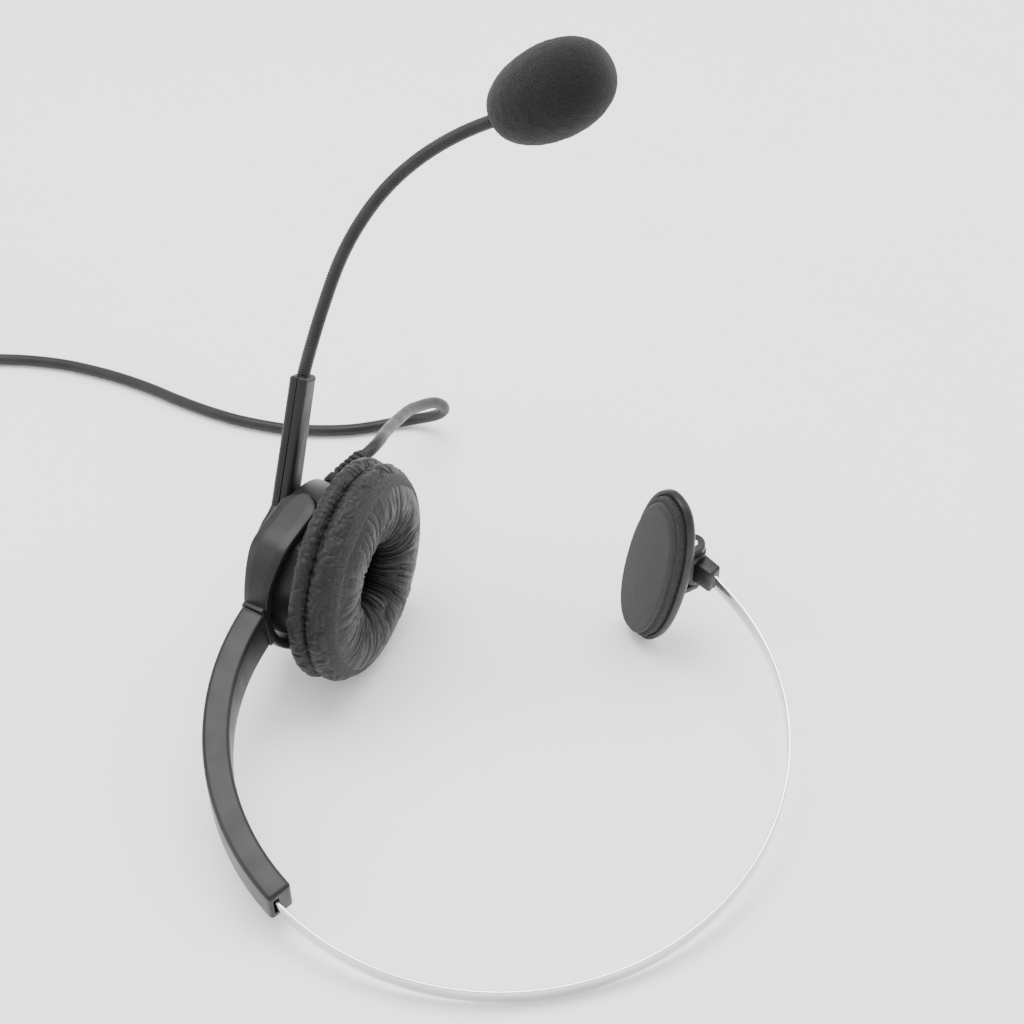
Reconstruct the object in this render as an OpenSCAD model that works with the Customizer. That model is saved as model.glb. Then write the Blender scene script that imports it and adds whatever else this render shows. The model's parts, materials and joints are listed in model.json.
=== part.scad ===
// Office headset with one ear cup, a sliding steel headband and a boom microphone.
// Millimetres, +Z up. It stands on a table as it is put down: on the bend of the band,
// the rim of the ear cushion and the lower end of the temple pad.
// The origin is under the middle of the headset, at table height.

/* [Headband] */
// radius of the bent steel strip, at mid thickness
band_radius = 71.4; // [70.5:0.1:72]
// width of the steel strip
strip_width = 5; // [4:0.25:5.5]
// thickness of the steel strip
strip_thickness = 0.8; // [0.6:0.1:1]
// direction of the strip's end at the temple pad, seen along the band's normal
strip_end_angle = 46; // [44:1:48]
// thickness of the plastic arm, across the band
arm_thickness = 6.8; // [6.6:0.1:7.4]
// height of the arm at its mouth, where the strip goes in
arm_mouth_height = 10; // [9.5:0.25:11]
// height of the arm at the yoke
arm_yoke_height = 14.8; // [14:0.25:15.5]

/* [Ear cup] */
// radius of the round part of the housing
barrel_radius = 20.5; // [20:0.1:20.6]
// radius of the rim that the cushion hooks over
rim_radius = 28.6; // [28:0.1:29]
// largest radius of the ear cushion
cushion_radius = 29; // [28.8:0.1:29.5]
// radius of the hole in the middle of the cushion
cushion_hole_radius = 8.6; // [8:0.2:9.5]
// how far the cup leans over with the yoke
cup_lean = 5.7; // [0:0.1:8]
// how far the cup is turned in the yoke
cup_turn = 7.2; // [-3:0.1:9]

/* [Boom] */
// direction of the boom, from the top of the ear cup towards the back
boom_angle = 37; // [20:1:60]
// length of the flat holder, from the turning point
holder_length = 47.4; // [44:0.2:50]
// thickness of the holder, along the ear axis
holder_thickness = 5; // [4.8:0.1:5.4]
// diameter of the bendable neck
neck_diameter = 3.5; // [3.3:0.1:3.7]
// length of the foam windscreen
foam_length = 33.5; // [30:0.5:34]
// largest diameter of the foam windscreen
foam_diameter = 23.4; // [22:0.2:26]

/* [Temple pad] */
// length of the temple pad's shell
pad_length = 51; // [50:0.5:55]
// width of the temple pad's shell
pad_width = 22.6; // [21:0.2:24]

/* [Cord] */
// diameter of the cord
cord_diameter = 3.3; // [3:0.1:3.5]

/* [Output] */
// which sub-part to draw

/* [Hidden] */
$fn = 96;

// how the whole headset stands: turned about X, then about Y, then set down
tilt = 11.69;
roll = 1.75;
rest_x = 0.84;
rest_y = -15.21;
rest_z = 17.152;

// colours, as on the object
chrome_colour = [0.80, 0.81, 0.83];
steel_colour = [0.66, 0.67, 0.69];
black_colour = [0.07, 0.07, 0.08];
soft_black = [0.10, 0.10, 0.11];
leather_colour = [0.06, 0.06, 0.06];
foam_colour = [0.13, 0.13, 0.13];
grey_face_colour = [0.42, 0.43, 0.45];
copper_colour = [0.75, 0.50, 0.30];
gold_colour = [0.83, 0.68, 0.36];

// clearances
slip = 0.3;       // between curved faces that slide
running = 0.05;   // round a turning shaft

// the arm: from its joint with the yoke to its mouth, as directions about the band's centre
arm_mid_radius = 70;
arm_joint_angle = 153.3;
arm_mouth_angle = 222.3;
yoke_heading = 29.5;       // the swivel pin's direction, from straight back towards +X
swivel_reach = 24.7;       // from the arm's joint to the cup's turning line
swivel_radius = 2.2;
strip_tail_angle = 182;    // where the strip ends inside the arm
stop_angle_size = 3;
pin_room = 1.6;            // the strip ends this many degrees short of the pad's pin

// the yoke
yoke_outer = 23.55;
yoke_inner = 21.2;
yoke_shift = 1;            // the ring's centre, off the turning line towards the arm
tine_half = 5.15;
yoke_base_half = 3.45;
barrel_flat = 17.8;        // the barrel's two pockets for the tines, off its axis
tine_inner = barrel_flat + slip;
tine_outer = 20.45;
pivot_to_ear = 5.4;        // along the ear axis, from the yoke's middle to the cup's datum
pivot_pin_radius = 1.5;

// the back of the front plate's rim, and the ear cushion, along the ear axis
plate_back = 3.6;
cushion_back = 7;
cushion_front = 17;

// the boom
holder_half = holder_thickness / 2;
holder_mid = -11.4 - holder_half;   // along the ear axis
holder_disc = 12;
holder_root = 4.2;         // half its width where it leaves the disc
holder_tip = 3.3;          // and at the neck
neck_radius = neck_diameter / 2;
neck_gap = 0.5;
neck_depth = 4;            // how far it goes into the holder
// the neck's headings, from the holder's line towards the ear axis, at its joints
neck_heading = [5.5, 12, 28, 46.5, 63];
// and the radius of each bent length between them
neck_bend = [270, 74, 64, 76];
mic_radius = 3.6;
mic_turn = 10;
mic_turn_axis = [0.37, 0.93, 0.03];
mic_length = 12;

// the temple pad, in the band's frame
pad_centre = [41.5, 51.2, -1];
pad_heading = 28.3;
pad_lean = 12;
pad_spin = -2;

// the strain relief, in the ear frame
relief_start = [10, -17.6, -4];
relief_turn = -2;          // upwards from straight back
relief_inward = 14;        // and towards the head
relief_length = 12;

// the cord: from the strain relief down to the table, then out to the left
cord_radius = cord_diameter / 2;
cord_route = [[-34.5, 60.05, 43.6], [-32.2, 63.2, 43.8], [-30.8, 68, 42.2], [-30, 74, 39.3],
              [-29, 81, 35.5], [-28, 87, 32.3], [-26.5, 94, 28.7], [-24.7, 100.8, 25.2],
              [-22.5, 106.2, 21.9], [-20.2, 111, 18.9], [-18.2, 114.5, 16.2], [-16.6, 117, 13.2],
              [-16.2, 118.7, 10.4], [-17.1, 120, 8], [-19, 121.2, 6], [-21.6, 122.4, 4.3],
              [-24.6, 123.3, 3], [-28.2, 123.6, 2.1], [-32, 123.2, 1.7], [-38.4, 121.6, 1.7],
              [-45, 120.6, 1.7], [-53, 120.6, 1.7], [-60, 121.3, 1.7], [-66, 122.4, 1.7],
              [-77.5, 126.2, 1.7], [-88, 131.3, 1.7], [-97, 136.6, 1.7], [-104, 141.2, 1.7],
              [-113, 146.3, 1.7], [-122, 150.5, 1.7], [-133, 154.5, 1.7], [-145, 157, 1.7],
              [-158, 158, 1.7], [-170, 157.6, 1.7], [-184, 157, 1.7]];
// the wound turns that take up the rest of its length
coil_centre = [-192, 180, 0];
coil_radius = 18;
coil_half_width = 6.8;
coil_height = 10;
tie_angle = 20;
tie_width = 28;
// from the turns to the plug
tail_route = [[-215.2, 184, 4.9], [-215.4, 189, 4.7], [-215.2, 194, 4.3], [-215, 199, 4.1], [-215, 202, 4]];
plug_start = [-215, 200, 4];
plug_radius = 3.9;
jack_radius = 1.75;
jack_length = 10.6;

// ---------- frames ----------

// the band's centre, z along the band's normal
module band_frame() {
    translate([rest_x, rest_y, rest_z])
        rotate([tilt, roll, 0])
            children();
}

// the arm's joint with the yoke: y along the swivel pin, z along the band's normal
module swivel_frame() {
    band_frame()
        rotate([0, 0, arm_joint_angle])
            translate([arm_mid_radius, 0, 0])
                rotate([0, 0, -arm_joint_angle - yoke_heading])
                    children();
}

// the yoke's middle: x up, y towards the arm, z inwards along the ear axis
module yoke_frame() {
    swivel_frame()
        rotate([0, -cup_lean, 0])
            translate([0, swivel_reach, 0])
                rotate([0, 90, 0])
                    rotate([0, 0, 180])
                        children();
}

// the ear cup: the same directions, turned in the yoke
module ear_frame() {
    yoke_frame()
        rotate([cup_turn, 0, 0])
            translate([0, 0, pivot_to_ear])
                children();
}

// the boom: x along the holder, z inwards along the ear axis
module boom_frame() {
    ear_frame()
        rotate([0, 0, -boom_angle])
            children();
}

// the temple pad: z away from the head, y along the pad, x across it
module pad_frame() {
    band_frame()
        translate(pad_centre)
            rotate([0, 0, pad_heading])
                rotate([0, 90 + pad_lean, 0])
                    rotate([0, 0, 90 + pad_spin])
                        children();
}

// ---------- shared shapes ----------

// a bent bar about the band's normal, from one direction to another
module band_bar(inner, outer, height, from, to) {
    rotate([0, 0, from])
        rotate_extrude(angle = to - from)
            translate([inner, -height / 2])
                square([outer - inner, height]);
}

// a rounded oblong plate, long in y
module oblong(length, width, thickness) {
    linear_extrude(thickness) {
        translate([0, (length - width) / 2]) circle(d = width);
        translate([0, (width - length) / 2]) circle(d = width);
        square([width, length - width], center = true);
    }
}

module ring(outer, inner, low, high) {
    translate([0, 0, low])
        difference() {
            cylinder(r = outer, h = high - low);
            translate([0, 0, -1]) cylinder(r = inner, h = high - low + 2);
        }
}

// ---------- headband ----------

module headband_strip() {
    color(chrome_colour)
        band_frame()
            band_bar(band_radius - strip_thickness / 2, band_radius + strip_thickness / 2,
                     strip_width, strip_tail_angle, 360 + strip_end_angle - pin_room);
}

// the strip's folded end, which stops it leaving the arm
module strip_stop() {
    color(steel_colour)
        band_frame()
            band_bar(band_radius - 2.2, band_radius - strip_thickness / 2 - 0.02, strip_width,
                     strip_tail_angle, strip_tail_angle + stop_angle_size);
}

module arm() {
    half = arm_thickness / 2;
    channel_in = band_radius - strip_thickness / 2 - slip;
    channel_out = band_radius + strip_thickness / 2 + slip;
    color(black_colour)
        difference() {
            intersection() {
                band_frame()
                    rotate([0, 0, arm_joint_angle - 8])
                        rotate_extrude(angle = arm_mouth_angle - arm_joint_angle + 8)
                            translate([arm_mid_radius - half, -arm_yoke_height])
                                square([arm_thickness, 2 * arm_yoke_height]);
                // the arm's height falls from the yoke to the mouth
                band_frame()
                    rotate([90, 0, 90])
                        linear_extrude(200, center = true)
                            polygon([[-50, -arm_mouth_height / 2], [34, -arm_yoke_height / 2],
                                     [60, -arm_yoke_height / 2], [60, arm_yoke_height / 2],
                                     [34, arm_yoke_height / 2], [-50, arm_mouth_height / 2]]);
                swivel_frame()
                    translate([-150, -200.15, -150])
                        cube([300, 200, 300]);
            }
            // the strip's channel, and the wider room for its stop
            band_frame()
                band_bar(channel_in, channel_out, strip_width + 2 * slip,
                         172, arm_mouth_angle + 1);
            band_frame()
                band_bar(band_radius - 2.5, channel_out, strip_width + 2 * slip, 172, 206);
            // the pocket for the drag spring, and the swivel pin's hole
            band_frame()
                band_bar(band_radius - 1.6, channel_in + 0.2, 3.6, 208, 219);
            swivel_frame()
                rotate([90, 0, 0])
                    cylinder(r = swivel_radius + running, h = 9.5);
        }
}

// a curved leaf that presses on the strip and holds its place
module drag_spring() {
    color(steel_colour)
        band_frame()
            band_bar(band_radius - 1.5, band_radius - 1, 3, 209, 218);
}

// ---------- yoke ----------

module swivel_pin() {
    color(steel_colour)
        swivel_frame()
            rotate([-90, 0, 0])
                translate([0, 0, -9])
                    cylinder(r = swivel_radius, h = 10.4);
}

module yoke() {
    color(black_colour)
        difference() {
            union() {
                // the half ring, narrow at its base and as wide as the tines at its ends
                intersection() {
                    yoke_frame()
                        translate([0, yoke_shift, -10])
                            cylinder(r = yoke_outer, h = 20);
                    yoke_frame()
                        rotate([90, 0, 90])
                            linear_extrude(80, center = true)
                                polygon([[0, -tine_half], [12, -tine_half], [26, -yoke_base_half],
                                         [26, yoke_base_half], [12, tine_half], [0, tine_half]]);
                }
                // the tines' round ends
                intersection() {
                    yoke_frame()
                        translate([0, yoke_shift, -10])
                            cylinder(r = yoke_outer, h = 20);
                    yoke_frame()
                        rotate([0, 90, 0])
                            cylinder(r = tine_half, h = 80, center = true);
                }
                // the block that meets the arm
                yoke_frame()
                    translate([-arm_yoke_height / 2, yoke_inner - 1, -yoke_base_half])
                        cube([arm_yoke_height, swivel_reach - 0.15 - yoke_inner + 1, 2 * yoke_base_half]);
            }
            // the tines lie flat in the barrel's pockets
            yoke_frame()
                intersection() {
                    translate([0, yoke_shift, -11])
                        cylinder(r = yoke_inner, h = 22);
                    cube([2 * tine_inner, 80, 40], center = true);
                }
            yoke_frame()
                for (side = [-1, 1])
                    translate([side * (tine_outer + 5), 0, 0])
                        cube([10, 60, 40], center = true);
            yoke_frame()
                rotate([0, 90, 0])
                    cylinder(r = pivot_pin_radius, h = 2 * (tine_outer - 0.8), center = true);
            swivel_frame()
                rotate([-90, 0, 0])
                    cylinder(r = swivel_radius, h = 1.4);
        }
}

// the two short pins that the cup turns on
module yoke_pivot_pins() {
    color(steel_colour)
        yoke_frame()
            for (side = [-1, 1])
                rotate([0, side * 90, 0])
                    translate([0, 0, barrel_flat - 1.5])
                        cylinder(r = pivot_pin_radius, h = tine_outer - 0.8 - barrel_flat + 1.5);
}

// ---------- ear cup ----------

module housing() {
    color(black_colour)
        difference() {
            ear_frame()
                rotate_extrude()
                    polygon([[3, -11], [17.2, -11], [barrel_radius, -8], [barrel_radius, 1],
                             [barrel_radius + 1, 1.6], [barrel_radius + 1, plate_back - 0.1],
                             [3, plate_back - 0.1]]);
            // the hollow, flat behind the two pockets
            ear_frame()
                intersection() {
                    rotate_extrude()
                        polygon([[0, -9.4], [16.6, -9.4], [barrel_radius - 1.6, -7.4],
                                 [barrel_radius - 1.6, 5], [0, 5]]);
                    cube([2 * (barrel_flat - 1.5), 60, 40], center = true);
                }
            // the pockets that the tines lie and turn in
            yoke_frame()
                for (side = [-1, 1])
                    rotate([0, side * 90, 0])
                        translate([0, 0, barrel_flat])
                            tine_pocket(side);
            // the holes for the yoke's pins
            ear_frame()
                translate([0, 0, -pivot_to_ear])
                    rotate([0, 90, 0])
                        cylinder(r = pivot_pin_radius + running, h = 60, center = true);
            // the hole for the strain relief
            relief_frame()
                translate([0, 0, -2])
                    cylinder(r = 2.55, h = 6);
        }
}

// round about the pin, and wider towards the yoke's base
module tine_pocket(side) {
    wide = tine_half + slip;
    linear_extrude(10) {
        circle(r = wide);
        polygon([[-side * wide, 0], [side * wide, 0], [side * (wide + 4.6), 16],
                 [-side * (wide + 3.7), 16]]);
    }
}

// the front plate: its rim holds the cushion, and the sound comes through its holes
module speaker_baffle() {
    hole = 1.4;
    color(black_colour)
        ear_frame()
            difference() {
                rotate_extrude()
                    polygon([[0, 5.3], [barrel_radius - 1.7, 5.3], [barrel_radius - 1.7, plate_back],
                             [rim_radius, plate_back], [rim_radius, 6.6], [0, 6.6]]);
                for (turn = [0 : 60 : 300])
                    rotate([0, 0, turn])
                        translate([7, 0, 0])
                            cylinder(r = hole, h = 20);
                cylinder(r = hole, h = 20);
            }
}

module driver_frame() {
    color(soft_black)
        ear_frame() {
            ring(15, 12.6, 1.6, 5.2);
            ring(12.7, 8.7, 1.6, 2.4);
        }
}

module driver_magnet() {
    color(steel_colour)
        ear_frame()
            translate([0, 0, -2.6])
                cylinder(r = 8.6, h = 5.2);
}

// the thin cone that moves the air
module driver_cone() {
    color(foam_colour)
        ear_frame()
            rotate_extrude()
                polygon([[0, 3.9], [4, 3.7], [6, 3.2], [12.4, 4.1], [12.4, 4.5], [6, 3.6],
                         [4, 4.1], [0, 4.3]]);
}

// a round-edged ring in outline: inner and outer radius, bottom, top, edge rounding
function round_ring(inner, outer, low, high, edge, steps = 8) =
    [for (corner = [0 : 3], i = [0 : steps])
        let (a = 90 * corner + 90 * i / steps - 180,
             x = (corner == 0 || corner == 3) ? inner + edge : outer - edge,
             y = corner < 2 ? low + edge : high - edge)
        [x + edge * cos(a), y + edge * sin(a)]];

module cushion_foam() {
    color(foam_colour)
        ear_frame()
            rotate_extrude()
                polygon(round_ring(cushion_hole_radius + 1.6, cushion_radius - 1.4,
                                   cushion_back + 1.2, cushion_front - 1.4, 3.2));
}

// the slip-on cover: it hooks over the front plate, and its face has a hole in the middle
module cushion_cover() {
    color(leather_colour)
        ear_frame()
            difference() {
                rotate_extrude()
                    difference() {
                        union() {
                            polygon(round_ring(cushion_hole_radius, cushion_radius,
                                               cushion_back, cushion_front, 4.6));
                            polygon(round_ring(24.6, cushion_radius + 0.3, 2.95, 11, 1.5));
                        }
                        polygon(round_ring(cushion_hole_radius + 1.5, cushion_radius - 1.3,
                                           cushion_back + 1.1, cushion_front - 1.3, 3.3));
                        translate([20, 3.5]) square([rim_radius + 0.1 - 20, 3.6]);
                    }
            }
}

// ---------- boom ----------

// the rivet that the boom turns on
module boom_pivot() {
    color(steel_colour)
        ear_frame() {
            translate([0, 0, holder_mid - 0.5])
                cylinder(r = 3 - running, h = 6.4);
            translate([0, 0, -9.35])
                cylinder(r = 5.5, h = 1.2);
        }
}

module friction_washer() {
    color(steel_colour)
        ear_frame()
            ring(9, 3.05, -11.4, -11.1);
}

// the holder's shape: a disc, and a bar that narrows to the neck's end
module holder_shape(thickness) {
    reach = holder_length - holder_tip;
    cylinder(r = holder_disc, h = thickness);
    translate([reach, 0, 0])
        cylinder(r = holder_tip, h = thickness);
    linear_extrude(thickness)
        polygon([[2, holder_root], [reach + 0.4, holder_tip - 0.05],
                 [reach + 0.4, -holder_tip + 0.05], [2, -holder_root]]);
}

module holder_half(low, high) {
    color(black_colour)
        boom_frame()
            difference() {
                translate([0, 0, low])
                    holder_shape(high - low);
                // room for the neck's end and for the rivet
                translate([holder_length, 0, holder_mid])
                    rotate([0, 90 - neck_heading[0] - 0.4, 0])
                        translate([0, 0, -neck_depth - 0.1])
                            cylinder(r = neck_radius + 3 * running, h = 12);
                translate([0, 0, holder_mid - 0.5])
                    cylinder(r = 3 - running, h = 10);
            }
}

module boom_holder_inner() {
    holder_half(holder_mid + 0.1, holder_mid + holder_half);
}

module boom_holder_outer() {
    holder_half(holder_mid - holder_half, holder_mid - 0.1);
}

// the place and heading at the neck's joint number i: x along the neck, z towards the head
module neck_joint(i) {
    if (i == 0)
        boom_frame()
            translate([holder_length, 0, holder_mid])
                rotate([0, -neck_heading[0], 0])
                    translate([-neck_depth, 0, 0])
                        children();
    else
        neck_joint(i - 1)
            after_arc(neck_bend[i - 1], neck_heading[i] - neck_heading[i - 1])
                children();
}

// moves to the end of a bent length
module after_arc(radius, turn) {
    translate([radius * sin(turn), 0, radius * (1 - cos(turn))])
        rotate([0, -turn, 0])
            children();
}

// one bent length of the neck, with half a joint's gap left at each end
module neck_length(i, gap_before, gap_after) {
    radius = neck_bend[i];
    before = gap_before / radius * 180 / PI;
    after = gap_after / radius * 180 / PI;
    turn = neck_heading[i + 1] - neck_heading[i] - before - after;
    color(soft_black)
        neck_joint(i)
            after_arc(radius, before)
                translate([0, 0, radius])
                    rotate([90, 0, 0])
                        rotate([0, 0, -90])
                            rotate_extrude(angle = turn)
                                translate([radius, 0])
                                    circle(r = neck_radius, $fn = 24);
}

module gooseneck_1() {
    neck_length(0, 0, neck_gap / 2);
}

module gooseneck_2() {
    neck_length(1, neck_gap / 2, neck_gap / 2);
}

module gooseneck_3() {
    neck_length(2, neck_gap / 2, neck_gap / 2);
}

module gooseneck_4() {
    neck_length(3, neck_gap / 2, 0);
}

// the microphone sits a little turned on the neck's end
module mic_frame() {
    neck_joint(4)
        rotate(a = mic_turn, v = mic_turn_axis)
            translate([0.4, 0, 0])
                children();
}

module mic_housing() {
    color(black_colour)
        mic_frame()
            rotate([0, 90, 0])
                difference() {
                    cylinder(r = mic_radius, h = mic_length);
                    translate([0, 0, mic_length - 4])
                        cylinder(r = mic_radius - 0.5, h = 5);
                }
}

module mic_capsule() {
    color(steel_colour)
        mic_frame()
            rotate([0, 90, 0])
                translate([0, 0, mic_length - 3.9])
                    cylinder(r = mic_radius - 0.6, h = 2.6);
}

// an egg of open-cell foam, a little blunter away from the neck
module windscreen() {
    steps = 20;
    color(foam_colour)
        mic_frame()
            rotate([0, 90, 0])
                translate([0, 0, -2])
                    difference() {
                        rotate_extrude()
                            polygon(concat([[0, foam_length], [0, 0]],
                                [for (i = [1 : steps - 1])
                                    let (a = 180 * i / steps)
                                    [foam_diameter / 2 * pow(sin(a), 0.85) * (1 - 0.05 * cos(a)),
                                     foam_length / 2 * (1 - cos(a))]]));
                        translate([0, 0, -1]) cylinder(r = neck_radius + 0.9, h = 4);
                        translate([0, 0, 1.95]) cylinder(r = mic_radius + 0.05, h = mic_length + 0.1);
                    }
}

// ---------- temple pad ----------

module temple_shell() {
    wall = 1.1;
    color(black_colour)
        difference() {
            union() {
                pad_frame()
                    difference() {
                        translate([0, 0, -1.6]) oblong(pad_length, pad_width, 3);
                        translate([0, 0, -1.7]) oblong(pad_length - 2 * wall, pad_width - 2 * wall, 1.9);
                    }
                // the two ears that hold the pin
                pad_lug(6.4, 4.8);
                pad_lug(-8.8, 7.8);
            }
            pin_frame()
                cylinder(r = 1, h = 40, center = true);
        }
}

// the pin that the pad tips on, along the band's normal
module pin_frame() {
    band_frame()
        rotate([0, 0, strip_end_angle])
            translate([band_radius, 0, 0])
                children();
}

module pad_lug(low, reach) {
    pin_frame()
        translate([0, 0, low]) {
            cylinder(r = 3, h = 2.4);
            rotate([0, 0, pad_heading - strip_end_angle + 180])
                translate([0, -3, 0])
                    cube([reach, 6, 2.4]);
        }
}

module temple_foam() {
    color(foam_colour)
        pad_frame()
            translate([0, 0, -3.8])
                oblong(pad_length - 2.6, pad_width - 2.6, 3.9);
}

module temple_face() {
    color(grey_face_colour)
        pad_frame()
            translate([0, 0, -5.1])
                oblong(pad_length - 4.4, pad_width - 3.2, 1.2);
}

// the moulded block on the strip's end
module strip_end_block() {
    color(black_colour)
        difference() {
            pin_frame()
                difference() {
                    union() {
                        translate([0, 0, -6.1]) cylinder(r = 3.4, h = 12.2);
                        translate([-2.6, -8, -5]) cube([5.2, 8, 10]);
                    }
                    cylinder(r = 1 + running, h = 40, center = true);
                }
            band_frame()
                band_bar(band_radius - strip_thickness / 2 - 0.03,
                         band_radius + strip_thickness / 2 + 0.03, strip_width + 0.06,
                         strip_end_angle - 12, strip_end_angle - pin_room);
        }
}

module pad_pin() {
    color(steel_colour)
        pin_frame()
            cylinder(r = 1, h = 17.6, center = true);
}

// ---------- cord ----------

module relief_frame() {
    ear_frame()
        translate(relief_start)
            rotate([0, 0, relief_turn])
                rotate([90 - relief_inward, 0, 0])
                    children();
}

// the ribbed rubber sleeve that the cord leaves by
module strain_relief() {
    ribs = 5;
    color(soft_black)
        relief_frame() {
            cylinder(r = 2.5, h = relief_length);
            for (i = [0 : ribs - 1])
                translate([0, 0, 3.6 + i * (relief_length - 4) / ribs])
                    cylinder(r = 3.2 - 0.1 * i, h = 1);
        }
}

// a smooth curve through the points, with two steps from each to the next
function smooth(p) =
    [for (i = [0 : len(p) - 2], t = [0, 0.5])
        let (a = p[max(i - 1, 0)], b = p[i], c = p[i + 1], d = p[min(i + 2, len(p) - 1)])
        b + t / 2 * (c - a) + t * t / 2 * (2 * a - 5 * b + 4 * c - d)
            + t * t * t / 2 * (3 * b - a - 3 * c + d)];

function unit(v) = v / norm(v);

// a closed tube along a route, with its sides level at the bottom
module swept_tube(route, radius, sides = 8) {
    path = concat(smooth(route), [route[len(route) - 1]]);
    last = len(path) - 1;
    points = [for (i = [0 : last])
        let (ahead = unit(path[min(i + 1, last)] - path[max(i - 1, 0)]),
             side = unit(cross(ahead, [0, 0, 1])),
             up = cross(side, ahead))
        for (k = [0 : sides - 1])
            let (a = 360 * (k + 0.5) / sides)
            path[i] + radius * (cos(a) * side + sin(a) * up)];
    faces = concat(
        [[for (k = [sides - 1 : -1 : 0]) k]],
        [[for (k = [0 : sides - 1]) last * sides + k]],
        [for (i = [0 : last - 1], k = [0 : sides - 1])
            let (m = (k + 1) % sides)
            [i * sides + k, i * sides + m, (i + 1) * sides + m, (i + 1) * sides + k]]);
    polyhedron(points, faces);
}

module cord() {
    color(soft_black)
        swept_tube(cord_route, cord_radius);
}

module cord_tail() {
    color(soft_black)
        swept_tube(tail_route, cord_radius);
}

// the outline of the wound turns, bedded on the table
module coil_section(grow) {
    half = coil_half_width + grow;
    top = coil_height + grow;
    polygon([[coil_radius - half, 0], [coil_radius + half, 0],
             [coil_radius + half, 4.2], [coil_radius + half - 3.4, top],
             [coil_radius - half + 3.4, top], [coil_radius - half, 4.2]]);
}

module cord_coil() {
    color(soft_black)
        translate(coil_centre)
            rotate_extrude()
                coil_section(0);
}

// a strap round the turns
module cord_tie() {
    color(black_colour)
        translate(coil_centre)
            rotate([0, 0, tie_angle])
                rotate_extrude(angle = tie_width)
                    difference() {
                        coil_section(1);
                        coil_section(0.05);
                    }
}

module plug_frame() {
    translate(plug_start)
        rotate([-90, 0, 0])
            children();
}

module plug_body() {
    color(black_colour)
        plug_frame()
            difference() {
                union() {
                    cylinder(r1 = 2.6, r2 = 3.2, h = 8);
                    translate([0, 0, 8]) cylinder(r = plug_radius, h = 14);
                }
                translate([0, 0, -1]) cylinder(r = cord_radius + 0.05, h = 3);
            }
}

// the 3.5 mm contact pin
module plug_contact() {
    color(gold_colour)
        plug_frame() {
            translate([0, 0, 22]) cylinder(r = 2.6, h = 0.8);
            translate([0, 0, 22.8]) cylinder(r = jack_radius, h = jack_length);
            translate([0, 0, 22.8 + jack_length]) cylinder(r1 = 1.2, r2 = 1.7, h = 1.2);
            translate([0, 0, 24 + jack_length]) cylinder(r1 = 1.7, r2 = 0.5, h = 1.6);
        }
}

headband_strip();
strip_stop();
arm();
drag_spring();
swivel_pin();
yoke();
yoke_pivot_pins();
housing();
speaker_baffle();
driver_frame();
driver_magnet();
driver_cone();
cushion_foam();
cushion_cover();
boom_pivot();
friction_washer();
boom_holder_inner();
boom_holder_outer();
gooseneck_1();
gooseneck_2();
gooseneck_3();
gooseneck_4();
mic_housing();
mic_capsule();
windscreen();
strain_relief();
cord();
cord_coil();
cord_tie();
cord_tail();
plug_body();
plug_contact();
temple_shell();
temple_foam();
temple_face();
strip_end_block();
pad_pin();
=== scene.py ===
import json
import math

import bmesh
import bpy
from mathutils import Matrix, Vector, noise


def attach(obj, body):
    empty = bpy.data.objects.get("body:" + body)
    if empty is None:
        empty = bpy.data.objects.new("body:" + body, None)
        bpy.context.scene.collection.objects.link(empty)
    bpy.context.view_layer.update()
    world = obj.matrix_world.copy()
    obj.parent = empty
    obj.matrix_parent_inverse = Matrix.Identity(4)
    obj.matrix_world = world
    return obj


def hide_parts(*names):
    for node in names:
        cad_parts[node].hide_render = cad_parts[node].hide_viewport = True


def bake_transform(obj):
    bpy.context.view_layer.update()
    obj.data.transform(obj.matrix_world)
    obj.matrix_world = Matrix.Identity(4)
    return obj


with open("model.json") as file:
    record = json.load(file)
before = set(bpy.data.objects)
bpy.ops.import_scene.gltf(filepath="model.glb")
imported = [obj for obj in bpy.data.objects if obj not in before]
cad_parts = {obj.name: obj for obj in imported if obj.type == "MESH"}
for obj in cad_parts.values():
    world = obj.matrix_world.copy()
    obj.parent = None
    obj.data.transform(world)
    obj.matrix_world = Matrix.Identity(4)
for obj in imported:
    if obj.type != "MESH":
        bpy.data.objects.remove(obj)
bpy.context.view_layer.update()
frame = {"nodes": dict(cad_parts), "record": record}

MM = 0.001

# ---------------------------------------------------------------- frames of the parts

joints = {j["name"]: j for j in frame["record"]["behaviour"]["joints"]}


def place(name):
    return Vector(joints[name]["pos_m"])


def axis(name):
    return Vector(joints[name]["axis"]).normalized()


def frame_from(origin, x, z):
    """A right-handed frame at origin, with those x and z directions."""
    z = z.normalized()
    x = (x - z * x.dot(z)).normalized()
    m = Matrix.Identity(4)
    for i, v in enumerate((x, z.cross(x), z)):
        m.col[i] = (*v, 0)
    m.col[3] = (*origin, 1)
    return m


def move(x, y, z):
    return Matrix.Translation(Vector((x, y, z)) * MM)


def turn(degrees, about):
    return Matrix.Rotation(math.radians(degrees), 4, about)


EAR = frame_from(place("boom_turn"), axis("cup_tilt"), axis("boom_turn"))
YOKE = frame_from(place("cup_tilt"), axis("cup_tilt"),
                  axis("cup_tilt").cross(-axis("yoke_swivel")))
BAND = frame_from(place("band_slide"), Vector((0, 1, 0)).cross(axis("band_slide")),
                  axis("band_slide"))
BOOM = EAR @ turn(-37, "Z")
STRIP_END_ANGLE = 46
PIN = (frame_from(place("pad_tilt"), Vector(BAND.col[0][:3]), axis("pad_tilt"))
       @ turn(STRIP_END_ANGLE, "Z"))
PAD = BAND @ move(41.5, 51.2, -1) @ turn(28.3, "Z") @ turn(102, "Y") @ turn(88, "Z")
RELIEF = EAR @ move(10, -17.6, -4) @ turn(-2, "Z") @ turn(76, "X")

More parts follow.
